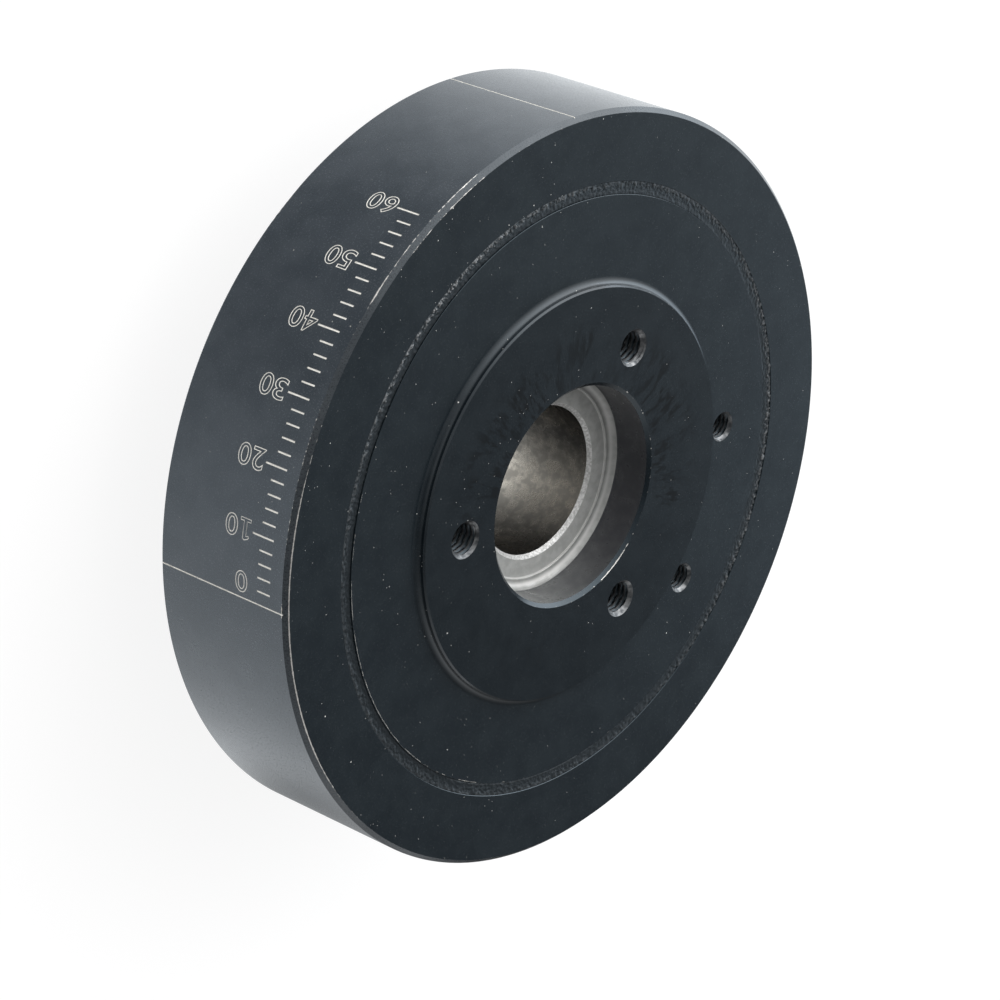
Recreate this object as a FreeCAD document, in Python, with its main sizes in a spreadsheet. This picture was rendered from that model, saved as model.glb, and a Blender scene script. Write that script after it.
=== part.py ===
import FreeCAD, Part
import os
import re
import Sketcher

# A harmonic balancer for an engine's crankshaft nose, in millimetres, +Z along the crank axis towards
# the front. The sleeve's rear end, which stands against the timing gear, is the plane z = 0.
# The zero line of the timing scale lies at -X, and its marks run clockwise seen from the front.
SIZES = {
    # crank bore, its keyway and the sleeve round it
    "bore_radius": 20.32,
    "bore_edge": 1.0,
    "key_width": 4.76,
    "key_depth": 2.4,
    "sleeve_wall": 6.68,
    "sleeve_length": 24.0,
    "sleeve_lead": 1.5,
    # counterbore that centres the pulley, with the land at its bottom for the crank bolt's washer
    "washer_land": 6.08,
    "washer_depth": 0.4,
    "register_step": 2.95,
    "register_depth": 12.5,
    "register_edge": 1.0,
    "register_fillet": 2.4,
    # raised boss that the pulley seats on, and its three tapped holes, at their tap drill's radius
    "pulley_inset": 11.65,
    "pulley_hole": 4.0,
    "pulley_countersink": 1.15,
    "pulley_angle": 178.5,
    "full_turn": 360.0,
    "boss_shoulder": 14.9,
    "boss_height": 2.4,
    "boss_edge": 0.4,
    "boss_fillet": 1.8,
    # web outside the boss, and its two smaller tapped holes
    "side_inset": 6.4,
    "side_hole": 3.3,
    "side_countersink": 0.9,
    "side_angle": -0.3,
    "side_spread": 40.0,
    "web_thickness": 20.0,
    "web_corner": 2.5,
    "rim_inset": 7.9,
    # rim, rubber and inertia ring
    "rim_thickness": 9.0,
    "rubber_thickness": 3.4,
    "rubber_recess": 0.5,
    "ring_wall": 19.0,
    "ring_width": 44.45,
    "ring_edge": 1.2,
    # timing scale, engraved round the ring near its front edge
    "line_width": 0.45,
    "line_depth": 0.2,
    "quarter_width": 0.3,
    "scale_start": 5.4,
    "short_line": 4.4,
    "long_line": 7.2,
    "short_step": 2.0,
    "long_step": 10.0,
    "scale_end": 60.0,
}

# Radii, stacked outwards from the bore
SLEEVE_RADIUS = "bore_radius + sleeve_wall"
WASHER_RADIUS = "bore_radius + washer_land"
REGISTER_RADIUS = WASHER_RADIUS + " + register_step"
PULLEY_CIRCLE = REGISTER_RADIUS + " + pulley_inset"
BOSS_RADIUS = PULLEY_CIRCLE + " + boss_shoulder"
SIDE_CIRCLE = BOSS_RADIUS + " + side_inset"
RIM_INSIDE = SIDE_CIRCLE + " + rim_inset"
RIM_RADIUS = RIM_INSIDE + " + rim_thickness"
RING_BORE = RIM_RADIUS + " + rubber_thickness"
RING_RADIUS = RING_BORE + " + ring_wall"

# Heights along the axis, from the sleeve's rear end
BACK = "sleeve_length"
FRONT = BACK + " + ring_width"
WEB_BACK = FRONT + " - web_thickness"
BOSS_TOP = FRONT + " + boss_height"
REGISTER_FLOOR = BOSS_TOP + " - register_depth"
WASHER_SEAT = REGISTER_FLOOR + " - washer_depth"

PULLEY_HOLES = 3
SIDE_HOLES = 2

# How far a cutting sketch stands off the ring, so that its prism starts in clear air
CLEAR = 1.0
NEAR = 1e-4

doc = FreeCAD.newDocument("harmonic_balancer")
sheet = doc.addObject("Spreadsheet::Sheet", "Sizes")
for row, (alias, value) in enumerate(SIZES.items(), 1):
    sheet.set("A%d" % row, alias)
    sheet.set("B%d" % row, str(value))
    sheet.setAlias("B%d" % row, alias)
doc.recompute()


def bound(text):
    # The same formula with each size read from the sheet
    return re.sub(r"(?!min\b)\b[a-z]\w+", r"Sizes.\g<0>", text)


def value(text):
    return float(sheet.evalExpression(bound(text)))


def marks(step):
    # How many marks that far apart the scale has, its first and last among them
    return int(round(value("scale_end") / value(step))) + 1


def new_body(label):
    body = doc.addObject("PartDesign::Body", label)
    body.Label = label
    return body


def plane(body, role):
    return next(item for item in body.Origin.OriginFeatures if item.Role == role)


def new_sketch(body, name, role):
    sketch = body.newObject("Sketcher::SketchObject", name)
    sketch.AttachmentSupport = [(plane(body, role), "")]
    sketch.MapMode = "FlatFace"
    return sketch


def pin(sketch, geometry, end, across, up):
    # Ties one end of a line or arc, or a circle's centre, to its place in the sketch
    for kind, text, axis in (("DistanceX", across, -2), ("DistanceY", up, -1)):
        if text == "0":
            sketch.addConstraint(Sketcher.Constraint("PointOnObject", geometry, end, axis))
            continue
        index = sketch.addConstraint(Sketcher.Constraint(kind, -1, 1, geometry, end, value(text)))
        sketch.setExpression("Constraints[%d]" % index, bound(text))


def outline(sketch, corners):
    # A closed outline of straight sides through the corners
    places = [FreeCAD.Vector(value(across), value(up), 0) for across, up in corners]
    sides = [
        sketch.addGeometry(Part.LineSegment(here, there), False)
        for here, there in zip(places, places[1:] + places[:1])
    ]
    for side, following, corner in zip(sides, sides[1:] + sides[:1], corners):
        sketch.addConstraint(Sketcher.Constraint("Coincident", side, 2, following, 1))
        pin(sketch, side, 1, *corner)


def disc(sketch, radius, across="0", up="0"):
    centre = FreeCAD.Vector(value(across), value(up), 0)
    index = sketch.addGeometry(Part.Circle(centre, FreeCAD.Vector(0, 0, 1), value(radius)), False)
    limit = sketch.addConstraint(Sketcher.Constraint("Radius", index, value(radius)))
    sketch.setExpression("Constraints[%d]" % limit, bound(radius))
    pin(sketch, index, 3, across, up)


def revolve(body, name, corners):
    sketch = new_sketch(body, name + "_outline", "XZ_Plane")
    outline(sketch, corners)
    turned = body.newObject("PartDesign::Revolution", name)
    turned.Profile = sketch
    turned.ReferenceAxis = (sketch, ["V_Axis"])
    turned.Angle = 360
    doc.recompute()
    return turned


def cut(body, sketch, name, depth, towards_normal=False):
    # Pockets the sketch out of the body, and makes sure that metal went
    before = body.Shape.Volume
    pocket = body.newObject("PartDesign::Pocket", name)
    pocket.Profile = sketch
    pocket.Type = "Length"
    pocket.setExpression("Length", bound(depth))
    pocket.Reversed = towards_normal
    doc.recompute()
    if body.Shape.Volume > before - NEAR:
        raise RuntimeError(name + " cuts nothing")
    return pocket


def repeat(body, feature, name, count, angle, reverse=False):
    before = body.Shape.Volume
    pattern = body.newObject("PartDesign::PolarPattern", name)
    pattern.Originals = [feature]
    pattern.Axis = (plane(body, "Z_Axis"), [""])
    pattern.Occurrences = count
    pattern.setExpression("Angle", bound(angle))
    pattern.Reversed = reverse
    body.Tip = pattern
    doc.recompute()
    if body.Shape.Volume > before - NEAR:
        raise RuntimeError(name + " cuts nothing")
    return pattern


def circles(feature, radius, height):
    # The names of the round edges of that radius at that height
    found = []
    for number, edge in enumerate(feature.Shape.Edges, 1):
        curve = edge.Curve
        if not isinstance(curve, Part.Circle):
            continue
        if abs(curve.Radius - value(radius)) < NEAR and abs(curve.Center.z - value(height)) < NEAR:
            found.append("Edge%d" % number)
    if not found:
        raise RuntimeError("no round edge of radius %s at %s" % (radius, height))
    return found


def dress(body, kind, name, size, *edges):
    # A chamfer or fillet of that size along each round edge, given by its radius and height
    base = body.Tip
    names = [edge for radius, height in edges for edge in circles(base, radius, height)]
    feature = body.newObject("PartDesign::" + kind, name)
    feature.Base = (base, names)
    feature.setExpression("Size" if kind == "Chamfer" else "Radius", bound(size))
    doc.recompute()
    return feature


def raise_sketch(sketch, height):
    sketch.setExpression("AttachmentOffset.Base.z", bound(height))
    doc.recompute()


def turn_sketch(sketch, angle):
    sketch.setExpression("AttachmentOffset.Rotation.Angle", bound(angle))
    doc.recompute()


def drill(body, name, radius, circle, angle):
    # A hole right through the web, drilled from the boss face's height
    sketch = new_sketch(body, name + "_circle", "XY_Plane")
    disc(sketch, radius, circle)
    raise_sketch(sketch, BOSS_TOP)
    turn_sketch(sketch, angle)
    return cut(body, sketch, name, "boss_height + web_thickness")


def sink(body, name, radius, depth):
    # A round pocket on the axis, sunk from the boss face
    sketch = new_sketch(body, name + "_circle", "XY_Plane")
    disc(sketch, radius)
    raise_sketch(sketch, BOSS_TOP)
    return cut(body, sketch, name, depth)


def build_hub():
    # One steel turning: the sleeve, the web and the rim, with the boss on its front
    body = new_body("hub")
    revolve(body, "hub_blank", [
        ("bore_radius", "0"),
        (SLEEVE_RADIUS, "0"),
        (SLEEVE_RADIUS, WEB_BACK),
        (RIM_INSIDE, WEB_BACK),
        (RIM_INSIDE, BACK),
        (RIM_RADIUS, BACK),
        (RIM_RADIUS, FRONT),
        (BOSS_RADIUS, FRONT),
        (BOSS_RADIUS, BOSS_TOP),
        ("bore_radius", BOSS_TOP),
    ])
    sink(body, "register", REGISTER_RADIUS, "register_depth")
    sink(body, "washer_seat", WASHER_RADIUS, "register_depth + washer_depth")

    pulley_hole = drill(body, "pulley_hole_cut", "pulley_hole", PULLEY_CIRCLE, "pulley_angle")
    repeat(body, pulley_hole, "pulley_holes", PULLEY_HOLES, "full_turn")
    side_hole = drill(body, "side_hole_cut", "side_hole", SIDE_CIRCLE, "side_angle")
    repeat(body, side_hole, "side_holes", SIDE_HOLES, "side_spread", reverse=True)

    dress(body, "Chamfer", "pulley_countersinks", "pulley_countersink", ("pulley_hole", BOSS_TOP))
    dress(body, "Chamfer", "side_countersinks", "side_countersink", ("side_hole", FRONT))
    dress(body, "Fillet", "register_corner", "register_fillet", (REGISTER_RADIUS, REGISTER_FLOOR))
    dress(body, "Fillet", "boss_corner", "min(boss_fillet; 0.95 * (boss_height - boss_edge))",
          (BOSS_RADIUS, FRONT))
    dress(body, "Chamfer", "boss_rim", "boss_edge", (BOSS_RADIUS, BOSS_TOP))
    dress(body, "Chamfer", "register_mouth", "register_edge", (REGISTER_RADIUS, BOSS_TOP))
    dress(body, "Chamfer", "bore_mouths", "bore_edge", ("bore_radius", WASHER_SEAT), ("bore_radius", "0"))
    dress(body, "Chamfer", "sleeve_tip", "sleeve_lead", (SLEEVE_RADIUS, "0"))
    dress(body, "Chamfer", "web_corners", "web_corner", (SLEEVE_RADIUS, WEB_BACK), (RIM_INSIDE, WEB_BACK))

    # the keyway lies in line with the scale's zero line and runs the whole length of the bore
    key = new_sketch(body, "keyway_outline", "XY_Plane")
    outline(key, [
        ("-bore_radius - key_depth", "-key_width / 2"),
        ("0", "-key_width / 2"),
        ("0", "key_width / 2"),
        ("-bore_radius - key_depth", "key_width / 2"),
    ])
    cut(body, key, "keyway", BOSS_TOP, towards_normal=True)
    return body


def build_elastomer_ring():
    # The rubber band squeezed into the gap between the hub's rim and the inertia ring
    body = new_body("elastomer_ring")
    low = BACK + " + rubber_recess"
    high = FRONT + " - rubber_recess"
    revolve(body, "rubber_band", [(RIM_RADIUS, low), (RING_BORE, low), (RING_BORE, high), (RIM_RADIUS, high)])
    return body


def engrave(body, name, role, width, low, high, side):
    # A straight engraved line along the axis, cut into the ring where the plane's normal meets it
    sketch = new_sketch(body, name + "_outline", role)
    outline(sketch, [
        ("-%s / 2" % width, low),
        ("%s / 2" % width, low),
        ("%s / 2" % width, high),
        ("-%s / 2" % width, high),
    ])
    raise_sketch(sketch, "%s(%s + %s)" % (side, RING_RADIUS, CLEAR))
    return cut(body, sketch, name, "line_depth + %s" % CLEAR, towards_normal=True)


def build_inertia_ring():
    body = new_body("inertia_ring")
    revolve(body, "ring_blank", [(RING_BORE, BACK), (RING_RADIUS, BACK), (RING_RADIUS, FRONT), (RING_BORE, FRONT)])
    dress(body, "Chamfer", "ring_edges", "ring_edge", (RING_RADIUS, FRONT), (RING_RADIUS, BACK))

    # timing scale: a short line at every 2 degrees, a long one at every 10, and the zero and quarter
    # lines over the ring's whole width
    first = FRONT + " - scale_start"
    short = engrave(body, "short_line_cut", "YZ_Plane", "line_width", first + " - short_line", first, "-")
    repeat(body, short, "short_lines", marks("short_step"), "scale_end", reverse=True)
    long = engrave(body, "long_line_cut", "YZ_Plane", "line_width", first + " - long_line", first, "-")
    repeat(body, long, "long_lines", marks("long_step"), "scale_end", reverse=True)
    engrave(body, "zero_line", "YZ_Plane", "line_width", BACK, FRONT, "-")
    engrave(body, "quarter_line", "XZ_Plane", "quarter_width", BACK, FRONT, "-")
    return body


def check(bodies):
    for item in doc.Objects:
        if "Invalid" in item.State or "Error" in item.State:
            raise RuntimeError("%s failed: %s" % (item.Name, item.State))
    for body in bodies:
        if body.Shape.isNull() or not body.Shape.isValid():
            raise RuntimeError("%s has no valid shape" % body.Label)
        if len(body.Shape.Solids) != 1:
            raise RuntimeError("%s is %d solids" % (body.Label, len(body.Shape.Solids)))


bodies = [build_hub(), build_elastomer_ring(), build_inertia_ring()]
doc.recompute()
check(bodies)

os.makedirs("parts", exist_ok=True)
for body in bodies:
    body.Shape.exportStep(os.path.join("parts", body.Label + ".step"))
    print("%s %.1f mm3, %d faces" % (body.Label, body.Shape.Volume, len(body.Shape.Faces)))
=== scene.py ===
import math
import bmesh
import bpy
import numpy as np
from mathutils import Euler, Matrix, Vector, noise


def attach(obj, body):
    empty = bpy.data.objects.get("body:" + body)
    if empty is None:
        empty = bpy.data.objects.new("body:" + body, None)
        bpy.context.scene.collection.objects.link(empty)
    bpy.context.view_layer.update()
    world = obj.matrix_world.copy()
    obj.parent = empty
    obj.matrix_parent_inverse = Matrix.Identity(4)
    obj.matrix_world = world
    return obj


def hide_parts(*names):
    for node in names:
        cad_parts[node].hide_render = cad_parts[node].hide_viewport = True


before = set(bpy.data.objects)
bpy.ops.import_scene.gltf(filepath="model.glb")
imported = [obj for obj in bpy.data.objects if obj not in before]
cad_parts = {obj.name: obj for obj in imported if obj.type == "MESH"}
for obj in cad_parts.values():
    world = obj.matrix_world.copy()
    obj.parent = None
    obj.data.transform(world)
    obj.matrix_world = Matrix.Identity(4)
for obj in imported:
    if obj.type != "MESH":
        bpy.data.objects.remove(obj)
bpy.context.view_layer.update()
print("frame loaded")

mm = 0.001
sliver = 0.001 * mm
touch = 0.01   # mm: a face this near to a height or a radius counts as on it
scene = bpy.context.scene


def addObject(name, data):
    piece = bpy.data.objects.new(name, data)
    scene.collection.objects.link(piece)
    return piece


def meshFrom(name, points, faces):
    mesh = bpy.data.meshes.new(name)
    mesh.from_pydata([tuple(point) for point in points], [], faces)
    mesh.validate()
    return mesh


def evaluatedMesh(piece):
    graph = bpy.context.evaluated_depsgraph_get()
    return bpy.data.meshes.new_from_object(piece.evaluated_get(graph))


def bakedMesh(piece):
    # the evaluated mesh, after which the piece keeps no modifier
    mesh = evaluatedMesh(piece)
    mesh.name = piece.data.name
    piece.modifiers.clear()
    piece.data = mesh
    return mesh


def coordinates(items, field):
    # one row of x, y and z for each vertex or face
    values = np.empty(len(items) * 3)
    items.foreach_get(field, values)
    return values.reshape(-1, 3)


def faceCentres(mesh):
    # each face's centre in mm, its distance from the axis and its height
    centres = coordinates(mesh.polygons, "center") / mm
    return centres, np.hypot(centres[:, 0], centres[:, 1]), centres[:, 2]


def carve(piece, cutter):
    # takes the cutter's volume out of the piece, and the cutter itself out of the scene
    cutting = piece.modifiers.new("carve", "BOOLEAN")
    cutting.operation = "DIFFERENCE"
    cutting.solver = "MANIFOLD"
    cutting.object = cutter
    before = len(piece.data.vertices)
    mesh = bakedMesh(piece)
    if len(mesh.vertices) == before:
        raise RuntimeError(cutter.name + " cut nothing")
    bpy.data.objects.remove(cutter)


def dropSlivers(piece):
    # joins corners that a cut has left closer than a micrometre and removes the faces that this flattens
    work = bmesh.new()
    work.from_mesh(piece.data)
    for turn in range(2):
        bmesh.ops.remove_doubles(work, verts=work.verts, dist=sliver)
        bmesh.ops.dissolve_degenerate(work, edges=work.edges, dist=sliver)
    loose = [corner for corner in work.verts if not corner.link_faces]
    bmesh.ops.delete(work, geom=loose, context="VERTS")
    work.to_mesh(piece.data)
    work.free()


def arc(centre, radius, start, end, steps):
    # points of an arc in the section plane, angles in degrees; radius may be a pair, across and up
    across, up = radius if isinstance(radius, tuple) else (radius, radius)
    turns = [math.radians(start + (end - start) * step / steps) for step in range(steps + 1)]
    return [(centre[0] + across * math.cos(turn), centre[1] + up * math.sin(turn)) for turn in turns]


def newTree(name, kind, inputs, outputs):
    # a node group with named sockets: the group, what it is given and what it has to fill
    tree = bpy.data.node_groups.new(name, kind)
    for side, sockets in (("INPUT", inputs), ("OUTPUT", outputs)):
        for label, form in sockets:
            tree.interface.new_socket(label, in_out=side, socket_type="NodeSocket" + form)
    return tree, tree.nodes.new("NodeGroupInput").outputs, tree.nodes.new("NodeGroupOutput").inputs


def place(tree, kind, **settings):
    node = tree.nodes.new(kind)
    for name, value in settings.items():
        setattr(node, name, value)
    return node


def feed(tree, socket, value):
    # a socket gets a link, or a plain value
    if isinstance(value, bpy.types.NodeSocket):
        tree.links.new(value, socket)
    elif value is not None:
        socket.default_value = value


def build(tree, kind, values, **settings):
    # a new node whose inputs, by name or number, get their values; it gives the node's outputs
    node = place(tree, kind, **settings)
    for key, value in values.items():
        feed(tree, node.inputs[key], value)
    return node.outputs


def calc(tree, operation, *values, clamp=False):
    return build(tree, "ShaderNodeMath", dict(enumerate(values)), operation=operation, use_clamp=clamp)[0]


def times(tree, first, second):
    return calc(tree, "MULTIPLY", first, second)


def geometryTree(name, inputs):
    # it takes a mesh and a material besides its own inputs, and gives a mesh
    shape = ("Geometry", "Geometry")
    return newTree(name, "GeometryNodeTree", [shape, *inputs, ("Material", "Material")], [shape])


def finishTree(tree, given, result, shape):
    # the shape's instances become plain geometry, which gets the material
    real = build(tree, "GeometryNodeRealizeInstances", {0: shape})
    painted = build(tree, "GeometryNodeSetMaterial", {"Geometry": real[0], "Material": given["Material"]})
    feed(tree, result[0], painted[0])
    return tree


def runTree(piece, tree, values):
    # puts the tree on the piece with its named inputs set, and bakes the result
    modifier = piece.modifiers.new(tree.name, "NODES")
    modifier.node_group = tree
    for item in tree.interface.items_tree:
        if item.in_out == "INPUT" and item.name in values:
            modifier[item.identifier] = values[item.name]
    return bakedMesh(piece)


def latheTree():
    # turns a closed section once round the Z axis, along a circle of the path radius
    tree, given, result = geometryTree("lathe", [("Segments", "Int"), ("Path Radius", "Float")])
    circle = build(tree, "GeometryNodeCurvePrimitiveCircle", {
        "Resolution": given["Segments"], "Radius": given["Path Radius"]})
    section = build(tree, "GeometryNodeMeshToCurve", {0: given["Geometry"]})
    turned = build(tree, "GeometryNodeCurveToMesh", {"Curve": circle["Curve"], "Profile Curve": section[0]})
    return finishTree(tree, given, result, turned[0])


def patternTree():
    # repeats the piece round the Z axis, each copy turned a step further clockwise
    tree, given, result = geometryTree("roundPattern", [
        ("Count", "Int"), ("First", "Float"), ("Step", "Float"), ("Skip Every", "Int")])
    row = build(tree, "GeometryNodeMeshLine", {"Count": given["Count"], "Offset": (0.0, 0.0, 0.0)})
    index = place(tree, "GeometryNodeInputIndex").outputs[0]
    turn = calc(tree, "ADD", times(tree, index, given["Step"]), given["First"])
    around = build(tree, "ShaderNodeCombineXYZ", {"Z": times(tree, calc(tree, "RADIANS", turn), -1.0)})
    # "Skip Every" leaves out each copy whose number is a multiple of it, and 0 leaves none out
    rest = calc(tree, "MODULO", index, calc(tree, "MAXIMUM", given["Skip Every"], 1.0))
    kept = calc(tree, "MAXIMUM", calc(tree, "GREATER_THAN", rest, 0.5),
                calc(tree, "LESS_THAN", given["Skip Every"], 0.5))
    copies = build(tree, "GeometryNodeInstanceOnPoints", {
        "Points": row[0], "Selection": kept, "Instance": given["Geometry"], "Rotation": around[0]})
    return finishTree(tree, given, result, copies[0])


lathe = latheTree()
roundPattern = patternTree()


def turnedPiece(name, section, segments):
    # a closed ring-shaped solid from its section, (radius, height) pairs in mm, walked clockwise
    count = len(section)
    pathRadius = 0.05
    points = [(radius * mm - pathRadius, -height * mm, 0.0) for radius, height in section]
    mesh = bpy.data.meshes.new(name)
    mesh.from_pydata(points, [(k, (k + 1) % count) for k in range(count)], [])
    piece = addObject(name, mesh)
    runTree(piece, lathe, {"Segments": segments, "Path Radius": pathRadius})
    return piece


print("trees built")


hubSizes = {
    "segments": 720, "registerSteps": 12, "footSteps": 10, "webSteps": 8, "creaseAngle": 32,
    "boreRadius": 20.32, "boreEdge": 1.0, "keyWidth": 4.76, "keyDepth": 2.4,
    "washerRadius": 26.4, "washerSeat": 57.95, "washerSlope": 0.1, "registerFloor": 58.35,
    "registerRadius": 29.35, "registerFillet": 2.4, "registerMouth": (1.0, 0.9),
    "bossRadius": 55.9, "bossTop": 70.85, "bossEdge": (0.38, 0.5), "bossFoot": (2.0, 1.4),
    "webFront": 68.45, "webBack": 48.45, "webFillet": 2.5,
    "rimRadius": 79.2, "rimInside": 70.2, "rimBack": 24.0, "seatEdge": 0.08, "lipEdge": 0.5,
    "sleeveRadius": 27.0, "sleeveLead": 1.5, "keyEnds": 5.0,
    "pulleyHoles": {"circle": 41.0, "first": -178.5, "step": 120.0, "count": 3, "minor": 4.0, "major": 4.76,
                    "pitch": 1.5875, "mouth": 5.1, "top": 70.85},
    "sideHoles": {"circle": 62.3, "first": 0.3, "step": 40.0, "count": 2, "minor": 3.3, "major": 3.97,
                  "pitch": 1.411, "mouth": 4.2, "top": 68.45},
}


def hubSection(sizes):
    # half of the hub's cut face: up the bore, out over the front, down the rim and back in over the web
    fillet, slope = sizes["registerFillet"], sizes["washerSlope"]
    bore, seat, step = sizes["boreRadius"], sizes["washerSeat"], sizes["washerRadius"]
    register, floor = sizes["registerRadius"], sizes["registerFloor"]
    boss, top, front = sizes["bossRadius"], sizes["bossTop"], sizes["webFront"]
    (mouthAcross, mouthUp), (bossAcross, bossUp) = sizes["registerMouth"], sizes["bossEdge"]
    footAcross, footUp = sizes["bossFoot"]
    rim, inside, back = sizes["rimRadius"], sizes["rimInside"], sizes["rimBack"]
    sleeve, lead = sizes["sleeveRadius"], sizes["sleeveLead"]
    corner, web, edge = sizes["webFillet"], sizes["webBack"], sizes["boreEdge"]
    seatEdge, lipEdge = sizes["seatEdge"], sizes["lipEdge"]
    points = [(bore + edge, 0), (bore, edge), (bore, seat - edge), (bore + edge, seat)]
    points += [(step, seat), (step, floor - slope), (step + slope, floor)]
    points += arc((register - fillet, floor + fillet), fillet, -90, 0, sizes["registerSteps"])
    points += [(register, top - mouthUp), (register + mouthAcross, top)]
    points += [(boss - bossAcross, top), (boss, top - bossUp)]
    points += arc((boss + footAcross, front + footUp), (footAcross, footUp), 180, 270, sizes["footSteps"])
    points += [(rim - seatEdge, front), (rim, front - seatEdge), (rim, back + seatEdge), (rim - seatEdge, back)]
    points += [(inside + lipEdge, back), (inside, back + lipEdge)]
    points += arc((inside - corner, web - corner), corner, 0, 90, sizes["webSteps"])
    points += arc((sleeve + corner, web - corner), corner, 90, 180, sizes["webSteps"])
    points += [(sleeve, lead), (sleeve - lead, 0)]
    return points


threadShape = {"columns": 40, "rowsPerTurn": 8, "clear": 1.0, "steepness": 2.6, "root": 0.3}


def threadCutter(name, hole, low):
    # a rod with a thread round it and a cone at its top: it leaves a tapped, countersunk hole
    columns, clear = threadShape["columns"], threadShape["clear"]
    bottom, top = low - clear, hole["top"] + clear
    rows = int(math.ceil((top - bottom) * threadShape["rowsPerTurn"] / hole["pitch"]))
    points, faces = [], []
    for row in range(rows + 1):
        height = bottom + (top - bottom) * row / rows
        sink = hole["mouth"] - max(0.0, hole["top"] - height)
        for column in range(columns):
            turn = 2 * math.pi * column / columns
            phase = (height / hole["pitch"] - column / columns) % 1.0
            depth = (0.5 - abs(phase - 0.5)) * threadShape["steepness"] - threadShape["root"]
            depth = min(1.0, max(0.0, depth))
            radius = max(sink, hole["minor"] + (hole["major"] - hole["minor"]) * depth)
            across = hole["circle"] + radius * math.cos(turn)
            points.append((across * mm, radius * mm * math.sin(turn), height * mm))
            if row < rows:
                here, there = row * columns + column, row * columns + (column + 1) % columns
                faces.append((here, there, there + columns, here + columns))
    faces.append(tuple(reversed(range(columns))))
    faces.append(tuple(range(rows * columns, (rows + 1) * columns)))
    rod = addObject(name, meshFrom(name, points, faces))
    runTree(rod, roundPattern, {"Count": hole["count"], "First": hole["first"], "Step": hole["step"]})
    return rod


def boxCutter(name, low, high):
    corners = [(x, y, z) for x in (low[0], high[0]) for y in (low[1], high[1]) for z in (low[2], high[2])]
    points = [tuple(value * mm for value in corner) for corner in corners]
    faces = [(0, 1, 3, 2), (4, 6, 7, 5), (0, 4, 5, 1), (2, 3, 7, 6), (0, 2, 6, 4), (1, 5, 7, 3)]
    return addObject(name, meshFrom(name, points, faces))


def shadeByAngle(piece, angle):
    # smooth, with creases kept sharp and large flat faces kept flat
    piece.data.shade_smooth()
    piece.data.set_sharp_from_angle(angle=math.radians(angle))
    weighted = piece.modifiers.new("faceWeights", "WEIGHTED_NORMAL")
    weighted.keep_sharp = True
    weighted.weight = 80
    bakedMesh(piece)


def makeHub(sizes):
    hub = turnedPiece("balancerHub", hubSection(sizes), sizes["segments"])
    for name in ("pulleyHoles", "sideHoles"):
        carve(hub, threadCutter(name, sizes[name], sizes["webBack"]))
    reach, half, ends = sizes["boreRadius"] + sizes["keyDepth"], sizes["keyWidth"] / 2, sizes["keyEnds"]
    carve(hub, boxCutter("keyway", (-reach, -half, -ends), (0, half, sizes["bossTop"] - ends)))
    dropSlivers(hub)
    shadeByAngle(hub, sizes["creaseAngle"])
    return hub


hub = makeHub(hubSizes)
print("hub made", len(hub.data.polygons))


ringSizes = {
    "segments": 720, "creaseAngle": 30,
    "radius": 101.6, "bore": 82.6, "back": 24.0, "front": 68.45, "edge": 1.2, "boreEdge": 0.12,
    "lineWidth": 0.45, "lineDepth": 0.2, "zeroWidth": 0.36, "quarterWidth": 0.3,
    "scaleStart": 5.4, "shortLine": 4.4, "longLine": 7.2, "lineOver": 1.0,
    "zeroTick": (-0.9, 2.2, 0.2),
    "numberStart": 13.2, "numberPitch": 4.6, "numberHeight": 5.7, "numberWidth": 4.2,
    "loneNumber": (2.4, 13.2), "numberLine": 0.13, "numberSink": 0.03,
    "digitTall": 0.73, "digitSwell": 0.006, "digitSteps": 5, "oneAcross": 0.5, "oneWidth": 0.86,
    "oneShape": [(0, 0), (1, 0), (1, 0.13), (0.66, 0.13), (0.66, 0.93), (0.52, 1), (0.16, 0.91), (0.07, 0.84),
                 (0.14, 0.77), (0.36, 0.82), (0.36, 0.13), (0, 0.13)],
}


def lineCutter(name, sizes, width, low, high, count=1, first=0.0, step=0.0, skip=0):
    # a bar across the ring's surface where the zero line lies, then repeated clockwise
    outside, inside = -sizes["radius"] - sizes["lineOver"], -sizes["radius"] + sizes["lineDepth"]
    bar = boxCutter(name, (outside, -width / 2, low), (inside, width / 2, high))
    runTree(bar, roundPattern, {"Count": count, "First": first, "Step": step, "Skip Every": skip})
    return bar


def digitOutline(sizes, digit):
    # the digit's outline as a curve: the one, which has a flag and a foot, is drawn point by point
    if digit != "1":
        letter = bpy.data.curves.new("digit" + digit, "FONT")
        letter.body = digit
        letter.size = 1.0
        letter.fill_mode = "NONE"
        letter.resolution_u = sizes["digitSteps"]
        letter.offset = sizes["digitSwell"]
        return letter
    letter = bpy.data.curves.new("digit1", "CURVE")
    letter.dimensions = "3D"
    line = letter.splines.new("POLY")
    line.points.add(len(sizes["oneShape"]) - 1)
    for point, (across, up) in zip(line.points, sizes["oneShape"]):
        point.co = (across * sizes["oneAcross"], up * sizes["digitTall"], 0, 1)
    line.use_cyclic_u = True
    return letter


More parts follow.
